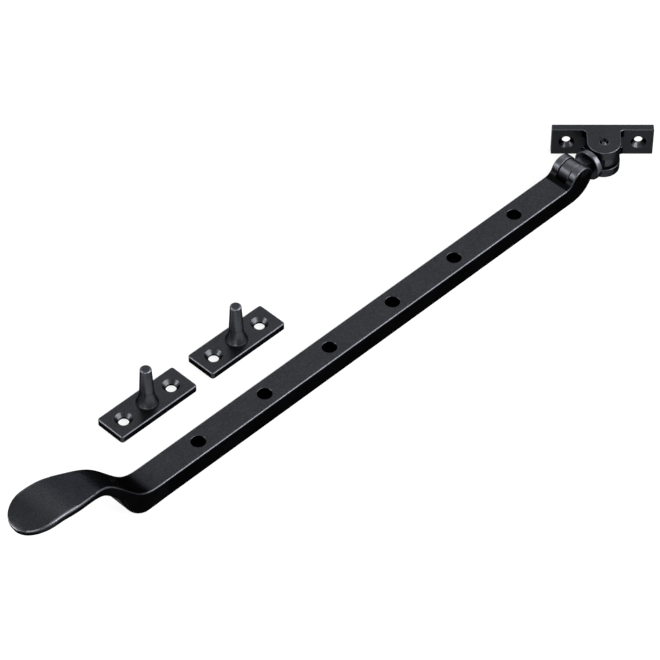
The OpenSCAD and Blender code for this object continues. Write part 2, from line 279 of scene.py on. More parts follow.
class StayStage(bpy.types.PropertyGroup):
    """Camera and lamps."""

    lens: amount("Lens", "Focal length in millimetres", 190.909, unit="CAMERA")
    camera: FloatVectorProperty(
        name="Camera", description="Place of the camera", default=(-0.11537, -1.09651, 1.00504),
        subtype="TRANSLATION",
    )
    tilt: angle("Camera tilt", "Turn of the camera up from straight down", 44.326)
    left: amount("Left softbox", "Power of the softbox on the left", 8.0, unit="POWER")
    right: amount("Right softbox", "Power of the softbox on the right", 23.0, unit="POWER")
    back: amount("Back softbox", "Power of the softbox behind the object", 4.8, unit="POWER")
    front: amount("Front strip", "Power of the low strip in front", 4.0, unit="POWER")
    low: amount("Low strips", "Power of the small low strip on each side", 1.8, unit="POWER")
    glow: amount("Floor glow", "Share of the floor's white that shadows leave", 0.82, "FACTOR")
    fill: amount("Sky", "Strength of the soft light from all round", 0.25)


# Shapes


def arc(centre, radius, start, end, steps):
    """Points of an arc round centre, from one angle to another."""
    turns = [start + (end - start) * i / steps for i in range(steps + 1)]
    return [Vector((centre[0] + radius * math.cos(a), centre[1] + radius * math.sin(a))) for a in turns]


def ease(x):
    """Rises smoothly from 0 to 1."""
    t = min(1.0, max(0.0, x))
    return t * t * (3 - 2 * t)


def mix(a, b, x):
    """Goes smoothly from a to b."""
    return a + (b - a) * ease(x)


def prism(outline, lift):
    """A closed solid: an outline of points in space, and the way that it is extruded."""
    bm = bmesh.new()
    face = bm.faces.new([bm.verts.new(point) for point in outline])
    made = bmesh.ops.extrude_face_region(bm, geom=[face])
    moved = [item for item in made["geom"] if isinstance(item, bmesh.types.BMVert)]
    bmesh.ops.translate(bm, verts=moved, vec=lift)
    bmesh.ops.recalc_face_normals(bm, faces=bm.faces)
    return bm


def standing(centre, axis):
    """Moves a shape that is drawn round Z to another place and axis."""
    return Matrix.Translation(centre) @ axis.to_track_quat("Z", "Y").to_matrix().to_4x4()


def drum(radius, depth, centre, axis, edge=0.0, segments=64):
    """A closed round bar with rounded rims."""
    bm = bmesh.new()
    bmesh.ops.create_cone(
        bm, cap_ends=True, segments=segments, radius1=radius, radius2=radius, depth=depth,
        matrix=standing(centre, axis),
    )
    if edge:
        sharp = math.radians(60)
        round_edges(bm, [e for e in bm.edges if e.calc_face_angle() > sharp], edge)
    return bm


def turned(profile, centre, axis=UP, segments=64):
    """A closed solid of revolution: profile points are (radius, height), and the ends lie on the axis."""
    bm = bmesh.new()
    verts = [bm.verts.new((radius, 0, height)) for radius, height in profile]
    edges = [bm.edges.new(pair) for pair in zip(verts, verts[1:])]
    bmesh.ops.spin(
        bm, geom=verts + edges, cent=(0, 0, 0), axis=(0, 0, 1), angle=math.tau, steps=segments,
        use_merge=True,
    )
    bmesh.ops.remove_doubles(bm, verts=bm.verts, dist=POLE)
    bmesh.ops.recalc_face_normals(bm, faces=bm.faces)
    bmesh.ops.transform(bm, matrix=standing(centre, axis), verts=bm.verts)
    return bm


def dome(radius, base, height):
    """Profile of a round dome over its base, from its rim to the axis."""
    return [(radius * share, base + height * (1 - share ** 2)) for share in DOME_RINGS]


def both_ends(top):
    """A whole profile out of its top half."""
    return [(radius, -height) for radius, height in reversed(top)] + top


def round_edges(bm, edges, radius, segments=4):
    """Rounds edges of a mesh."""
    bmesh.ops.bevel(
        bm, geom=edges, offset=radius, offset_type="OFFSET", segments=segments, profile=0.5,
        affect="EDGES", clamp_overlap=False, material=-1,
    )


def convex_edges(bm, inside, least=math.radians(50)):
    """Sharp outer edges whose two ends pass a test."""
    paired = [e for e in bm.edges if len(e.link_faces) == 2]
    sharp = [e for e in paired if e.calc_face_angle_signed() > least]
    return [e for e in sharp if all(inside(v.co) for v in e.verts)]


def as_object(bm, name):
    """Puts a mesh into a new object."""
    mesh = bpy.data.meshes.new(name)
    bm.to_mesh(mesh)
    bm.free()
    item = bpy.data.objects.new(name, mesh)
    bpy.context.scene.collection.objects.link(item)
    return item


def combined(base, other, operation):
    """Joins a second closed mesh to the first or cuts it away, and returns the result."""
    target = as_object(base, "target")
    tool = as_object(other, "tool")
    modifier = target.modifiers.new("combine", "BOOLEAN")
    modifier.object = tool
    modifier.operation = operation
    modifier.solver = "EXACT"
    graph = bpy.context.evaluated_depsgraph_get()
    mesh = bpy.data.meshes.new_from_object(target.evaluated_get(graph))
    result = bmesh.new()
    result.from_mesh(mesh)
    for item in (target, tool):
        data = item.data
        bpy.data.objects.remove(item)
        bpy.data.meshes.remove(data)
    bpy.data.meshes.remove(mesh)
    if not result.faces:
        raise RuntimeError(f"{operation} left nothing")
    bmesh.ops.remove_doubles(result, verts=result.verts, dist=WELD)
    return result


def joined(*meshes):
    """One closed mesh out of several that overlap."""
    whole = meshes[0]
    for other in meshes[1:]:
        whole = combined(whole, other, "UNION")
    return whole


def cut(base, *tools):
    """A mesh with several others cut out of it."""
    for tool in tools:
        base = combined(base, tool, "DIFFERENCE")
    return base


def screw_cutter(radius, head_r, thickness, land, centre, axis):
    """The shape of a countersunk hole: the head's cone, a short land and a relief behind it."""
    sink = head_r - radius
    relief = max(0.0, min(sink, thickness - sink - land))
    over = 1 * MM
    profile = [
        (0, -over), (radius + relief, -over), (radius + relief, 0), (radius, relief),
        (radius, thickness - sink), (head_r, thickness), (head_r, thickness + over), (0, thickness + over),
    ]
    return turned(profile, centre, axis, segments=48)


def mark_painted_light(bm, painted_light):
    """Writes an attribute of painted light: 0 on flats, up to 1 for a painted highlight on narrow rims that face
    up, down to -1 for painted shade in tight hollows.

    The function given gives painted highlight above 0 and painted shade below 0 at a place. That is added.
    """
    least_area = TINY ** 2
    rim = bm.faces.layers.float.new("rim")
    for face in bm.faces:
        bends = [e.calc_face_angle_signed() * e.calc_length() for e in face.edges if e.smooth]
        curve = sum(bends) / 2 / max(face.calc_area(), least_area)
        upright = curve < 0 and abs(face.normal.z) < UPRIGHT
        low, high = SHADE_CURVES if upright else HIGHLIGHT_CURVES
        share = ease(math.log(max(1.0, abs(curve)) / low) / math.log(high / low))
        # Only faces that turn up take the painted highlight, as if lit from above
        upward = ease(face.normal.z * FACING + 0.5)
        share *= HOLLOW_HIGHLIGHT if curve < 0 and not upright else 1
        painted_light_share = painted_light(face.calc_center_median()) * upward
        if painted_light_share < 0 and curve < 0:
            share = 0.0
        face[rim] = min(1.0, painted_light_share - share if upright else painted_light_share + share * upward)


def no_painted_light(place):
    """No painted highlight and no painted shade."""
    return 0.0


def fork_painted_light(place, radius, finish):
    """Painted highlight on the round top of the fork and the barrel, and painted shade where they run down to the
    bar.
    """
    out = (place - TILT).dot(ALONG) / radius
    return mix(finish.hinge_highlight, -finish.painted_shade, FORK_SHADE_RATE * out - 1)


def finished(bm, name, material, body, node, painted_light=no_painted_light):
    """Turns a mesh into the piece that stands for a CAD node."""
    bmesh.ops.recalc_face_normals(bm, faces=bm.faces)
    crease = math.radians(35)
    for face in bm.faces:
        face.smooth = True
    for edge in bm.edges:
        edge.smooth = len(edge.link_faces) == 2 and edge.calc_face_angle() < crease
    # The painted highlight and painted shade go into the mesh as an attribute
    mark_painted_light(bm, painted_light)
    piece = as_object(bm, name)
    piece.data.materials.append(bpy.data.materials[material])
    normals = piece.modifiers.new("even normals", "WEIGHTED_NORMAL")
    normals.keep_sharp = True
    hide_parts(node)
    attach(piece, body)


# Materials


def coat_grain_group():
    """A shared effect: the fine grain and soft cloudiness of a sprayed black coat, with painted highlight and
    painted shade from the mesh's attribute.
    """
    group = bpy.data.node_groups.new("Coat grain", "ShaderNodeTree")
    sockets = group.interface
    sockets.new_socket("Colour", in_out="INPUT", socket_type="NodeSocketColor")
    # The third float input is the strength of the painted highlight on rims
    for name in ("Grain scale", "Roughness", "Rim polish"):
        sockets.new_socket(name, in_out="INPUT", socket_type="NodeSocketFloat")
    sockets.new_socket("Colour", in_out="OUTPUT", socket_type="NodeSocketColor")
    for name in ("Roughness", "Height"):
        sockets.new_socket(name, in_out="OUTPUT", socket_type="NodeSocketFloat")
    nodes, links = group.nodes, group.links
    enter = nodes.new("NodeGroupInput")
    leave = nodes.new("NodeGroupOutput")
    place = nodes.new("ShaderNodeTexCoord")

    grain = nodes.new("ShaderNodeTexNoise")
    grain.inputs["Detail"].default_value = GRAIN_DETAIL
    links.new(place.outputs["Object"], grain.inputs["Vector"])
    links.new(enter.outputs["Grain scale"], grain.inputs["Scale"])
    cloud = nodes.new("ShaderNodeTexNoise")
    cloud.inputs["Scale"].default_value = CLOUD_SCALE
    cloud.inputs["Detail"].default_value = CLOUD_DETAIL
    links.new(place.outputs["Object"], cloud.inputs["Vector"])

    def ranged(source, given, wanted):
        """A value spread from the range that it is given in over another one."""
        node = nodes.new("ShaderNodeMapRange")
        for name, value in zip(("From Min", "From Max", "To Min", "To Max"), (*given, *wanted)):
            node.inputs[name].default_value = value
        links.new(source, node.inputs["Value"])
        return node.outputs["Result"]

    def times(a, b):
        """The product of two values."""
        node = nodes.new("ShaderNodeMath")
        node.operation = "MULTIPLY"
        links.new(a, node.inputs[0])
        links.new(b, node.inputs[1])
        return node.outputs["Value"]

    # Painted highlight: the colour grows up to the rims' strength where the attribute rises to 1; painted shade:
    # it falls to a small share where it falls to -1
    rim = nodes.new("ShaderNodeAttribute")
    rim.attribute_name = "rim"
    highlight_gain = nodes.new("ShaderNodeMapRange")
    highlight_gain.inputs["To Min"].default_value = 1
    links.new(enter.outputs["Rim polish"], highlight_gain.inputs["To Max"])
    links.new(rim.outputs["Fac"], highlight_gain.inputs["Value"])
    grained = ranged(grain.outputs["Fac"], NOISE_RANGE, GRAIN_SHADE)
    clouded = ranged(cloud.outputs["Fac"], NOISE_RANGE, CLOUD_SHADE)
    shade = times(times(grained, clouded), highlight_gain.outputs["Result"])
    shade = times(shade, ranged(rim.outputs["Fac"], (-1, 0), (DARKEST_SHADE, 1)))
    tint = nodes.new("ShaderNodeVectorMath")
    tint.operation = "SCALE"
    links.new(enter.outputs["Colour"], tint.inputs[0])
    links.new(shade, tint.inputs["Scale"])
    links.new(tint.outputs["Vector"], leave.inputs["Colour"])
    rough = times(enter.outputs["Roughness"], ranged(cloud.outputs["Fac"], NOISE_RANGE, CLOUD_GLOSS))
    links.new(rough, leave.inputs["Roughness"])
    links.new(grain.outputs["Fac"], leave.inputs["Height"])


def coat_material(name, colour, roughness, highlight_gain, grain, depth):
    """A satin black coat with its own colour, roughness, strength of painted highlight on the rims, and grain."""
    material = bpy.data.materials.new(name)
    material.use_nodes = True
    nodes, links = material.node_tree.nodes, material.node_tree.links
    shader = nodes["Principled BSDF"]
    effect = nodes.new("ShaderNodeGroup")
    effect.node_tree = bpy.data.node_groups["Coat grain"]
    effect.inputs["Colour"].default_value = (*colour, 1)
    effect.inputs["Roughness"].default_value = roughness
    effect.inputs["Rim polish"].default_value = highlight_gain
    effect.inputs["Grain scale"].default_value = grain
    bump = nodes.new("ShaderNodeBump")
    bump.inputs["Strength"].default_value = BUMP
    bump.inputs["Distance"].default_value = depth
    links.new(effect.outputs["Colour"], shader.inputs["Base Color"])
    links.new(effect.outputs["Roughness"], shader.inputs["Roughness"])
    links.new(effect.outputs["Height"], bump.inputs["Height"])
    links.new(bump.outputs["Normal"], shader.inputs["Normal"])
    shader.inputs["Metallic"].default_value = METAL
    shader.inputs["Specular Tint"].default_value = (0, 0, 0, 1)
    shader.inputs["Specular IOR Level"].default_value = 0.0


# The arm


class HandleLine:
    """The handle's top line, seen from the side and by the distance from the bend.

    It runs through the bend, the ramp, the crest, the flat and the droop.
    """

    def __init__(self, sizes, bar_t):
        self.sizes = sizes
        self.bar_t = bar_t
        rise, slope = sizes.rise, sizes.slope
        crest_drop = sizes.crest_r * (math.cos(slope) - math.cos(rise))
        ramp_up = sizes.lift - sizes.bend_r * (1 - math.cos(rise)) - crest_drop
        self.bend_end = sizes.bend_r * math.sin(rise)
        self.ramp_end = self.bend_end + ramp_up / math.tan(rise)
        self.crest_end = self.ramp_end + sizes.crest_r * (math.sin(rise) - math.sin(slope))
        self.flat_end = sizes.handle - sizes.droop
        self.bend_l = sizes.bend_r * rise
        self.ramp_l = ramp_up / math.sin(rise)
        self.crest_l = sizes.crest_r * (rise - slope)
        self.flat_l = (self.flat_end - self.crest_end) / math.cos(slope)

    def at(self, x):
        """Height of the top, its slope and the length walked, eased where one curve runs into the next."""
        reach = 3 * MM
        weights = {-1: 0.1, -0.5: 0.25, 0: 0.3, 0.5: 0.25, 1: 0.1}
        near = [(weight, self.drawn(x + reach * share)) for share, weight in weights.items()]
        return tuple(sum(weight * place[i] for weight, place in near) for i in range(3))

    def drawn(self, x):
        """Height of the top, its slope and the length walked, as drawn from lines and arcs."""
        sizes = self.sizes
        if x <= 0:
            return self.bar_t, 0.0, 0.0
        if x < self.bend_end:
            turn = math.asin(x / sizes.bend_r)
            return self.bar_t + sizes.bend_r * (1 - math.cos(turn)), turn, sizes.bend_r * turn
        bend_up = self.bar_t + sizes.bend_r * (1 - math.cos(sizes.rise))
        if x < self.ramp_end:
            far = x - self.bend_end
            up = bend_up + far * math.tan(sizes.rise)
            return up, sizes.rise, self.bend_l + far / math.cos(sizes.rise)
        ramp_up = bend_up + self.ramp_l * math.sin(sizes.rise)
        walked = self.bend_l + self.ramp_l
        if x < self.crest_end:
            turn = math.asin(math.sin(sizes.rise) - (x - self.ramp_end) / sizes.crest_r)
            up = ramp_up + sizes.crest_r * (math.cos(turn) - math.cos(sizes.rise))
            return up, turn, walked + sizes.crest_r * (sizes.rise - turn)
        crest_up = self.bar_t + sizes.lift
        walked += self.crest_l
        if x < self.flat_end:
            far = x - self.crest_end
            up = crest_up + far * math.tan(sizes.slope)
            return up, sizes.slope, walked + far / math.cos(sizes.slope)
        flat_up = crest_up + self.flat_l * math.sin(sizes.slope)
        turn = math.asin(math.sin(sizes.slope) - (x - self.flat_end) / sizes.droop_r)
        up = flat_up + sizes.droop_r * (math.cos(turn) - math.cos(sizes.slope))
        return up, turn, walked + self.flat_l + sizes.droop_r * (sizes.slope - turn)

    def thickness(self, walked):
        """Full round the heel of the bend, then falling to the neck and the paddle."""
        sizes = self.sizes
        x = walked / (self.bend_l + self.ramp_l)
        if x < 1:
            swollen = (1 - x) ** sizes.fade * (1 + sizes.swell * x)
            return sizes.neck_t + (self.bar_t - sizes.neck_t) * swollen
        far = (walked - self.bend_l - self.ramp_l) / (self.crest_l + self.flat_l / 2)
        return mix(sizes.neck_t, sizes.paddle_t, far)

    def half_width(self, x, side):
        """Half the width at a distance from the bend, on the near side where side is over 0."""
        sizes = self.sizes
        neck_at = sizes.neck_at + (sizes.near_lag if side > 0 else 0.0)
        if x < neck_at:
            return mix(sizes.width, sizes.neck_w, x / neck_at) / 2
        swollen = (x - neck_at) / (sizes.belly_at - sizes.neck_at)
        belly = mix(sizes.neck_w, sizes.paddle_w, swollen) / 2
        past = (x - sizes.handle + sizes.tip_l) / sizes.tip_l
        return belly if past <= 0 else belly * math.sqrt(max(0.0, 1 - past ** 2))


def fork_and_bar(sizes, bar_t, end_s):
    """The side outline of fork and bar, across the whole width, with its long edges rounded."""
    # The bow leaves the table at its foot and runs smoothly into the ears' round
    bow_r = (sizes.bow ** 2 + TILT_Z ** 2 - sizes.fork_r ** 2) / (2 * (TILT_Z - sizes.fork_r))
    bow_c = (TILT_S + sizes.bow, bow_r)
    bow_a = math.pi + math.atan2(bow_r - TILT_Z, sizes.bow)
    # The fillet touches that round from outside, and the bar's top
    fillet_z = bar_t + sizes.fillet
    fillet_s = TILT_S + math.sqrt((sizes.fork_r + sizes.fillet) ** 2 - (fillet_z - TILT_Z) ** 2)
    fillet_c = (fillet_s, fillet_z)
    fillet_a = math.atan2(fillet_z - TILT_Z, fillet_s - TILT_S)
    down = 1.5 * math.pi
    side = [Vector((end_s, 0))]
    side += arc(bow_c, bow_r, down, bow_a, steps=12)
    side += arc((TILT_S, TILT_Z), sizes.fork_r, bow_a, fillet_a, steps=40)[1:]
    side += arc(fillet_c, sizes.fillet, math.pi + fillet_a, down, steps=12)[1:]
    side += [Vector((end_s, bar_t))]
    half = sizes.width / 2
    bm = prism([(p.x, -half, p.y) for p in side], (0, sizes.width, 0))
    rims = [e for e in bm.edges if abs(e.verts[0].co.y - e.verts[1].co.y) < TINY]
    rims = [e for e in rims if min(v.co.x for v in e.verts) < end_s - TINY]
    round_edges(bm, rims, sizes.edge)
    # The edges on the table are sharper than those on top
    sharper = sizes.foot_edge / sizes.edge
    for vert in bm.verts:
        inset = half - abs(vert.co.y)
        if vert.co.z < sizes.edge + TINY and vert.co.x > bow_c[0] - TINY:
            vert.co.z *= sharper
            vert.co.y = math.copysign(half - inset * sharper, vert.co.y)
    return bm


def handle_blank(sizes, line, bar_t):
    """The handle as a flat blank: its plan, given the bar's thickness, with its rims rounded."""
    lead_steps, shaped_steps, tip_steps = 3, 46, 18
    tip_c = sizes.handle - sizes.tip_l
    stations = [-LEAD * (1 - i / lead_steps) for i in range(lead_steps)]
    stations += [tip_c * i / shaped_steps for i in range(shaped_steps)]
    stations += [tip_c + sizes.tip_l * math.sin(math.pi / 2 * i / tip_steps) for i in range(tip_steps)]
    near = [Vector((x, line.half_width(x, 1), 0)) for x in stations]
    far = [Vector((x, -line.half_width(x, -1), 0)) for x in reversed(stations)]
    bm = prism([*near, Vector((sizes.handle, 0, 0)), *far], (0, 0, -bar_t))
    rims = [e for e in bm.edges if abs(e.verts[0].co.z - e.verts[1].co.z) < TINY]
    rims = [e for e in rims if max(v.co.x for v in e.verts) > -LEAD + TINY]
    round_edges(bm, rims, sizes.edge)
    # Edges from rim to rim let the flat faces bend
    for level in (0, -bar_t):
        flat = [v for v in bm.verts if abs(v.co.z - level) < TINY]
        for vert in [v for v in flat if v.co.y > TINY]:
            mate = min(
                (v for v in flat if v.co.y < -TINY),
                key=lambda v: (v.co - Vector((vert.co.x, -vert.co.y, level))).length,
            )
            bmesh.ops.connect_verts(bm, verts=[vert, mate])
    return bm


def bent_handle(sizes, line, bar_t, bend_s):
    """Bends the flat blank along the handle's line, rounder under the gooseneck and on the paddle."""
    bm = handle_blank(sizes, line, bar_t)
    # Width of the blank's rounded rims, and a little more because they run aslant
    rim = 1.01 * sizes.edge
    for vert in bm.verts:
        x, y, z = vert.co
        up, slope, walked = line.at(x)
        thick = line.thickness(walked)
        half = line.half_width(x, y)
        depth = -z
        if depth > bar_t / 2:
            fall = ease((walked - line.bend_l - line.ramp_l) / line.crest_l)
            wide = ease(walked / line.bend_l) * (1 - fall)
            grown = (sizes.foot_edge + (sizes.under_edge - sizes.foot_edge) * wide) / sizes.edge
            depth = thick - (bar_t - depth) * grown
        else:
            swollen = (x - sizes.neck_at) / (sizes.belly_at - sizes.neck_at)
            grown = mix(sizes.edge, sizes.paddle_edge, swollen) / sizes.edge
            depth *= grown
        inset = max(0.0, half - abs(y))
        if inset < rim:
            y = math.copysign(half - inset * grown, y)
        low = max(0.0, up - depth * math.cos(slope))
        vert.co = Vector((bend_s + x + depth * math.sin(slope), y, low))
    return bm


def hole_cutter(s, bar_t, chamfer):
    """A peg hole with a small chamfer at each end."""
    over = 1 * MM
    wide = HOLE_R + chamfer
    profile = [
        (0, -over), (wide, -over), (wide, 0), (HOLE_R, chamfer), (HOLE_R, bar_t - chamfer), (wide, bar_t),
        (wide, bar_t + over), (0, bar_t + over),
    ]
    return turned(profile, Vector((s, 0, 0)))


def arm_mesh(sizes, link):
    """The whole arm: fork and bar, the bent handle, the slot, the tilt pin's bore and the peg holes."""
    bar_t = TILT_Z
    bend_s = TIP_S - sizes.handle
    bar = fork_and_bar(sizes, bar_t, bend_s - LEAD)
    handle = bent_handle(sizes, HandleLine(sizes, bar_t), bar_t, bend_s)
    # Bar and handle lose the caps between them and are welded
    for part in (bar, handle):
        caps = [f for f in part.faces if all(abs(v.co.x - bend_s + LEAD) < TINY for v in f.verts)]
        bmesh.ops.delete(part, geom=caps, context="FACES_ONLY")
    mesh = bpy.data.meshes.new("handle")
    handle.to_mesh(mesh)
    handle.free()
    bar.from_mesh(mesh)
    bpy.data.meshes.remove(mesh)
    bmesh.ops.remove_doubles(bar, verts=bar.verts, dist=SEAM)
    bmesh.ops.recalc_face_normals(bar, faces=bar.faces)

    slot_half = sizes.width / 2 - sizes.ear_t
    slot_end = TILT_S + link.barrel_r + sizes.slot_gap
    over = 5 * MM
    front = TILT_S - sizes.fork_r - over
    top = bar_t + sizes.fork_r + over
    lip = sizes.slot_edge
    outline = [Vector((front, -over)), Vector((slot_end, -over))]
    outline += arc((slot_end + lip, bar_t - lip), lip, math.pi, math.pi / 2, steps=4)
    outline += [Vector((slot_end + lip, top)), Vector((front, top))]
    arm = cut(bar, prism([(p.x, -slot_half, p.y) for p in outline], (0, 2 * slot_half, 0)))
    # The slot's rims are rounded as far as the ears are round
    ear_end = TILT_S + 0.9 * sizes.fork_r
    rims = convex_edges(arm, lambda p: abs(p.y) < slot_half + TINY and p.x < ear_end)
    round_edges(arm, rims, sizes.slot_edge, segments=3)
    bore = drum(link.tilt_d / 2, sizes.width + over, Vector((TILT_S, 0, TILT_Z)), Vector((0, 1, 0)))
    holes = [hole_cutter(s, bar_t, sizes.hole_edge) for s in HOLE_S]
    arm = cut(arm, bore, *holes)
    bmesh.ops.transform(arm, matrix=ARM_FRAME, verts=arm.verts)
    return arm


# The pegs


def peg_plate(sizes, land, hole_r, apart):
    """A peg plate round its own middle: rounded corners, a softened rim and countersunk holes."""
    half_l, half_w = sizes.plate_l / 2 - sizes.corner, sizes.plate_w / 2 - sizes.corner
    corners = [(half_l, half_w), (-half_l, half_w), (-half_l, -half_w), (half_l, -half_w)]
    outline = []
    for quarter, corner in enumerate(corners):
        start = quarter * math.pi / 2
        outline += arc(corner, sizes.corner, start, start + math.pi / 2, steps=6)
    bm = prism([(p.x, p.y, 0) for p in outline], (0, 0, sizes.plate_t))
    rims = [e for e in bm.edges if all(v.co.z > sizes.plate_t - TINY for v in e.verts)]
    round_edges(bm, rims, sizes.edge)
    holes = [
        screw_cutter(hole_r, sizes.head_d / 2, sizes.plate_t, land, Vector((x, 0, 0)), UP)
        for x in (-apart / 2, apart / 2)
    ]
    rivet = drum(sizes.rivet_d / 2, 3 * sizes.plate_t, Vector((0, 0, 0)), UP)
    return cut(bm, *holes, rivet)


def peg_stud(sizes, height, centre):
    """A tapered stud with a flared foot and a rivet below."""
    flare_w = (sizes.foot_d - sizes.root_d) / 2
    flare_r = (flare_w ** 2 + sizes.flare_h ** 2) / (2 * flare_w)
    flare_a = 2 * math.atan(flare_w / sizes.flare_h)
    flare_c = (sizes.root_d / 2 + flare_r, sizes.plate_t + sizes.foot_edge + sizes.flare_h)
    top_c = (sizes.top_d / 2 - sizes.top_edge, height - sizes.top_edge)
    rivet_r, foot_r = sizes.rivet_d / 2, sizes.foot_d / 2
    profile = [(0, 0), (rivet_r, 0), (rivet_r, sizes.plate_t), (foot_r, sizes.plate_t)]
    profile += arc(flare_c, flare_r, math.pi + flare_a, math.pi, steps=12)
    profile += arc(top_c, sizes.top_edge, 0, math.pi / 2, steps=6)
    profile += [(0, height)]
    return turned([tuple(p) for p in profile], centre)


# The stage


def add_lamp(name, place, size, power):
    """A soft lamp of a width and a height that looks at the middle of the object."""
    lamp = bpy.data.lights.new(name, "AREA")
    lamp.shape = "RECTANGLE"
    lamp.size, lamp.size_y = size
    lamp.energy = power
    item = bpy.data.objects.new(name, lamp)
    bpy.context.scene.collection.objects.link(item)
    middle = (CAD_BOX[0] + CAD_BOX[1]) / 2
    item.location = middle + place
    item.rotation_euler = place.to_track_quat("Z", "Y").to_euler()


def background_rays(nodes, links):
    """1 for the rays that see the white background: from the camera, in gloss and through glass."""
    path = nodes.new("ShaderNodeLightPath")
    seen = path.outputs["Is Camera Ray"]
    for kind in ("Is Glossy Ray", "Is Transmission Ray"):
        either = nodes.new("ShaderNodeMath")
        either.operation = "MAXIMUM"
        links.new(seen, either.inputs[0])
        links.new(path.outputs[kind], either.inputs[1])
        seen = either.outputs["Value"]
    return seen


def floor_material(colour, glow):
    """A plain pale floor that looks white, keeps a soft shadow and throws little light back."""
    material = bpy.data.materials.new("Pale floor")
    material.use_nodes = True
    nodes, links = material.node_tree.nodes, material.node_tree.links
    nodes.remove(nodes["Principled BSDF"])
    output = nodes["Material Output"]
    white = nodes.new("ShaderNodeEmission")
    white.inputs["Color"].default_value = (*colour, 1)
    shadowed = nodes.new("ShaderNodeBsdfDiffuse")
    shadowed.inputs["Color"].default_value = (*colour, 1)
    dull = nodes.new("ShaderNodeBsdfDiffuse")
    dull.inputs["Color"].default_value = (FLOOR_BOUNCE, FLOOR_BOUNCE, FLOOR_BOUNCE, 1)
    pale = nodes.new("ShaderNodeMixShader")
    pale.inputs["Fac"].default_value = glow
    links.new(shadowed.outputs["BSDF"], pale.inputs[1])
    links.new(white.outputs["Emission"], pale.inputs[2])
    floor = nodes.new("ShaderNodeMixShader")
    links.new(background_rays(nodes, links), floor.inputs["Fac"])
    links.new(dull.outputs["BSDF"], floor.inputs[1])
    links.new(pale.outputs["Shader"], floor.inputs[2])
    links.new(floor.outputs["Shader"], output.inputs["Surface"])
    return material


def sky(strength):
    """An even soft light from all round, which looks white."""
    world = bpy.data.worlds.new("sky")
    world.use_nodes = True
    nodes, links = world.node_tree.nodes, world.node_tree.links
    level = nodes.new("ShaderNodeMapRange")
    level.inputs["To Min"].default_value = strength
    level.inputs["To Max"].default_value = 1
    links.new(background_rays(nodes, links), level.inputs["Value"])
    back = nodes["Background"]
    back.inputs["Color"].default_value = (1, 1, 1, 1)
    links.new(level.outputs["Result"], back.inputs["Strength"])
    return world


# Operators


class STAY_OT_finishes(bpy.types.Operator):
    """Makes the black coats."""

    bl_idname = "stay.finishes"
    bl_label = "Make Finishes"

    def execute(self, context):
        finish = context.scene.stay_finish
        coat_grain_group()
        pin_gloss = finish.gloss * PIN_GLOSS
        # Each coat takes the same strength of painted highlight on its rims
        coat_material("Satin black coat", finish.coat, finish.gloss, finish.highlight_gain, *FORGED_GRAIN)
        coat_material("Pin black coat", finish.pin, pin_gloss, finish.highlight_gain, *TURNED_GRAIN)
        coat_material("Stud black coat", finish.stud, finish.stud_gloss, finish.highlight_gain, *TURNED_GRAIN)
        return {"FINISHED"}


class STAY_OT_arm(bpy.types.Operator):
    """Builds the arm: fork, holed bar, gooseneck and paddle."""

    bl_idname = "stay.arm"
    bl_label = "Build Arm"

    def execute(self, context):
        sizes, finish = context.scene.stay_arm, context.scene.stay_finish
        belly = sizes.belly_at - sizes.neck_at
        fork_end = TILT_S + math.sqrt(sizes.fork_r ** 2 + 2 * sizes.fork_r * sizes.fillet)

        def painted_light(place):
            """Painted highlight and painted shade on the fork, painted shade in the bend and a faint painted
            highlight on the paddle.
            """
            s = (place - SWIVEL).dot(ALONG)
            if s < fork_end:
                return fork_painted_light(place, sizes.fork_r, finish)
            far = s - TIP_S + sizes.handle
            bend = ease((far + LEAD) / SHADE_GROWS) * (1 - ease((far - SHADE_FADES) / SHADE_TAIL))
            return finish.painted_light_share * ease((far - sizes.neck_at) / belly) - finish.painted_shade * BEND_SHADE * bend

        mesh = arm_mesh(sizes, context.scene.stay_link)
        finished(mesh, "arm_forging", "Satin black coat", "arm", "stay_arm", painted_light)
        return {"FINISHED"}


class STAY_OT_pins(bpy.types.Operator):
    """Builds the two riveted pins."""

    bl_idname = "stay.pins"
    bl_label = "Build Pins"

    def execute(self, context):
        link, arm = context.scene.stay_link, context.scene.stay_arm
        top = dome(link.tilt_d / 2, arm.width / 2, link.dome)
        tilt = turned(both_ends(top), TILT, ACROSS, segments=48)
        finished(tilt, "tilt_rivet", "Pin black coat", "arm", "tilt_pin")

        radius, dimple_r, tip = link.swivel_d / 2, link.dimple_d / 2, link.dimple_tip / 2
        # The swivel pin's rim is rounded in two steps
        rim = 0.25 * MM
        inner = 0.3 * rim
        deep = dimple_r - tip
        top = [(radius, MID_Z - rim), (radius - inner, MID_Z - inner), (radius - rim, MID_Z)]
        top += [(dimple_r, MID_Z)]
        top += dome(tip, MID_Z - deep, link.button)
        swivel = turned(both_ends(top), SWIVEL, UP, segments=48)

        def dimple_shade(place):
            """Painted shade on the dimple's cone."""
            return -1.0 if tip < (place - SWIVEL).xy.length < dimple_r else 0.0

        finished(swivel, "swivel_rivet", "Pin black coat", "bracket", "swivel_pin", dimple_shade)
        return {"FINISHED"}


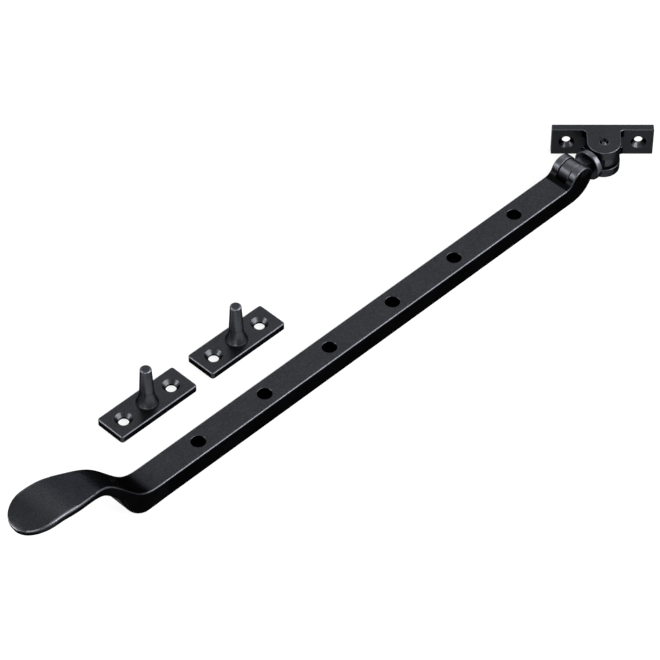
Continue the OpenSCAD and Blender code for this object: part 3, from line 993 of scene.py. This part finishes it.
class STAY_OT_link(bpy.types.Operator):
    """Builds the swivel link: eye, web, collar, neck and barrel."""

    bl_idname = "stay.link"
    bl_label = "Build Swivel Link"

    def execute(self, context):
        link, arm, bracket = context.scene.stay_link, context.scene.stay_arm, context.scene.stay_bracket
        finish = context.scene.stay_finish
        eye_h = 2 * MID_Z - 2 * bracket.ear_t - 2 * link.side
        barrel_l = arm.width - 2 * arm.ear_t - 2 * link.side
        back = bracket.ear_r + link.collar_gap
        middle = back + link.collar_t / 2
        along, across = Vector((1, 0, 0)), Vector((0, 1, 0))
        eye = drum(link.eye_r, eye_h, Vector((0, 0, MID_Z)), UP, link.edge)
        half_web, half_eye = link.web_w / 2, eye_h / 2
        low, high = MID_Z - half_eye, MID_Z + half_eye
        web = prism(
            [(0, -half_web, low), (0, half_web, low), (0, half_web, high), (0, -half_web, high)],
            (middle, 0, 0),
        )
        collar = drum(link.collar_r, link.collar_t, Vector((middle, 0, MID_Z)), along, link.edge)
        half_neck, half_barrel = link.neck_h / 2, barrel_l / 2
        neck = prism(
            [(middle, -half_barrel, MID_Z - half_neck), (TILT_S, -half_barrel, TILT_Z - half_neck),
             (TILT_S, -half_barrel, TILT_Z + half_neck), (middle, -half_barrel, MID_Z + half_neck)],
            (0, barrel_l, 0),
        )
        barrel = drum(link.barrel_r, barrel_l, Vector((TILT_S, 0, TILT_Z)), across, link.edge)
        whole = joined(eye, web, collar, neck, barrel)
        swivel_bore = drum(link.swivel_d / 2 + link.play, 2 * eye_h, Vector((0, 0, MID_Z)), UP)
        tilt_bore = drum(link.tilt_d / 2 + link.play, arm.width, Vector((TILT_S, 0, TILT_Z)), across)
        whole = cut(whole, swivel_bore, tilt_bore)
        bmesh.ops.transform(whole, matrix=ARM_FRAME, verts=whole.verts)

        def painted_light(place):
            """The barrel takes the same painted highlight and painted shade as the fork round it."""
            return fork_painted_light(place, link.barrel_r, finish)

        finished(whole, "link_forging", "Satin black coat", "link", "swivel_link", painted_light)
        return {"FINISHED"}


class STAY_OT_bracket(bpy.types.Operator):
    """Builds the mounting bracket: screw plate and two ears."""

    bl_idname = "stay.bracket"
    bl_label = "Build Bracket"

    def execute(self, context):
        sizes, link = context.scene.stay_bracket, context.scene.stay_link
        low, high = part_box("mounting_bracket")
        face_y, fillet = -sizes.plate_t, sizes.fillet
        root = face_y - fillet
        right = [Vector((high.x, 0)), Vector((high.x, face_y))]
        right += arc((sizes.ear_r + fillet, root), fillet, math.pi / 2, math.pi, steps=8)
        ear = arc(SWIVEL, sizes.ear_r, 0, -math.pi, steps=40)
        left = [Vector((-p.x, p.y)) for p in reversed(right)]
        outline = [(p.x, p.y, low.z) for p in right + ear + left]
        body = prism(outline, (0, 0, high.z - low.z))
        rims = [e for e in body.edges if abs(e.verts[0].co.z - e.verts[1].co.z) < TINY]
        ends = [e for e in body.edges if all(abs(v.co.x) > high.x - TINY for v in e.verts)]
        round_edges(body, list({*rims, *ends}), sizes.edge)
        gap = MID_Z - sizes.ear_t
        wide, out = sizes.ear_r + 2 * fillet, SWIVEL.y - 2 * sizes.ear_r
        slot = prism(
            [(-wide, out, -gap), (wide, out, -gap), (wide, face_y, -gap), (-wide, face_y, -gap)],
            (0, 0, 2 * gap),
        )
        body = cut(body, slot)
        rims = convex_edges(body, lambda p: abs(abs(p.z) - gap) < TINY and p.y < face_y + TINY)
        inner_edge = 0.7 * sizes.edge
        round_edges(body, rims, inner_edge, segments=3)
        screws = MOUNTS["bracket_screws"]["dims"]
        radius, apart = screws["hole_r_mm"] * MM, screws["spacing_x_mm"] * MM
        head_r, out_of_plate = sizes.head_d / 2, Vector((0, -1, 0))
        holes = [
            screw_cutter(radius, head_r, sizes.plate_t, sizes.land, Vector((x, 0, 0)), out_of_plate)
            for x in (-apart / 2, apart / 2)
        ]
        bore = drum(link.swivel_d / 2, 3 * high.z, SWIVEL, UP)
        body = cut(body, *holes, bore)
        finished(body, "bracket_casting", "Satin black coat", "bracket", "mounting_bracket")
        return {"FINISHED"}


class STAY_OT_pegs(bpy.types.Operator):
    """Builds the two peg plates and their studs."""

    bl_idname = "stay.pegs"
    bl_label = "Build Pegs"

    def execute(self, context):
        sizes, land = context.scene.stay_peg, context.scene.stay_bracket.land
        for number in (1, 2):
            low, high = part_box(f"peg_stud_{number}")
            centre = Vector(((low.x + high.x) / 2, (low.y + high.y) / 2, TABLE_Z))
            place = Matrix.Translation(centre) @ ARM_TURN
            body = f"peg_{number}"
            screws = MOUNTS[f"peg_{number}_screws"]["dims"]
            plate = peg_plate(sizes, land, screws["hole_r_mm"] * MM, screws["pcd_mm"] * MM)
            bmesh.ops.transform(plate, matrix=place, verts=plate.verts)
            finished(plate, f"peg_base_{number}", "Satin black coat", body, f"peg_plate_{number}")
            stud = peg_stud(sizes, high.z - low.z, centre)
            finished(stud, f"peg_post_{number}", "Stud black coat", body, f"peg_stud_{number}")
        return {"FINISHED"}


class STAY_OT_stage(bpy.types.Operator):
    """Sets the floor, the soft light and the camera."""

    bl_idname = "stay.stage"
    bl_label = "Set Stage"

    def execute(self, context):
        scene, stage, finish = context.scene, context.scene.stay_stage, context.scene.stay_finish
        scene.view_settings.view_transform = "Standard"
        bm = bmesh.new()
        bmesh.ops.create_grid(bm, x_segments=1, y_segments=1, size=FLOOR_HALF)
        bmesh.ops.translate(bm, verts=bm.verts, vec=(0, 0, TABLE_Z - FLOOR_GAP))
        floor = as_object(bm, "floor")
        floor.data.materials.append(floor_material(finish.floor, stage.glow))
        scene.world = sky(stage.fill)
        for name, setting, place, size in LAMPS:
            add_lamp(name, Vector(place), size, getattr(stage, setting))
        camera = bpy.data.cameras.new("camera")
        camera.lens = stage.lens
        camera.sensor_width = SENSOR
        item = bpy.data.objects.new("camera", camera)
        scene.collection.objects.link(item)
        item.location = stage.camera
        item.rotation_euler = (stage.tilt, 0, 0)
        scene.camera = item
        return {"FINISHED"}


class STAY_PT_panel(bpy.types.Panel):
    """Lists the steps that build the window stay."""

    bl_label = "Window Stay"
    bl_idname = "STAY_PT_panel"
    bl_space_type = "VIEW_3D"
    bl_region_type = "UI"
    bl_category = "Window Stay"

    def draw(self, context):
        for operator in OPERATORS:
            self.layout.operator(operator.bl_idname)


GROUPS = {
    "stay_arm": StayArmSizes,
    "stay_link": StayLinkSizes,
    "stay_bracket": StayBracketSizes,
    "stay_peg": StayPegSizes,
    "stay_finish": StayFinish,
    "stay_stage": StayStage,
}
OPERATORS = [
    STAY_OT_stage, STAY_OT_finishes, STAY_OT_arm, STAY_OT_pins, STAY_OT_link, STAY_OT_bracket, STAY_OT_pegs,
]


def register():
    """Adds the classes and the scene's settings."""
    for item in [*GROUPS.values(), *OPERATORS, STAY_PT_panel]:
        bpy.utils.register_class(item)
    for name, group in GROUPS.items():
        setattr(bpy.types.Scene, name, PointerProperty(type=group))


def unregister():
    """Takes the settings and the classes away again."""
    for name in GROUPS:
        delattr(bpy.types.Scene, name)
    for item in reversed([*GROUPS.values(), *OPERATORS, STAY_PT_panel]):
        bpy.utils.unregister_class(item)


def main():
    """Builds the whole stay."""
    register()
    bpy.ops.stay.stage()
    bpy.ops.stay.finishes()
    bpy.ops.stay.arm()
    bpy.ops.stay.pins()
    bpy.ops.stay.link()
    bpy.ops.stay.bracket()
    bpy.ops.stay.pegs()


if __name__ == "__main__":
    main()
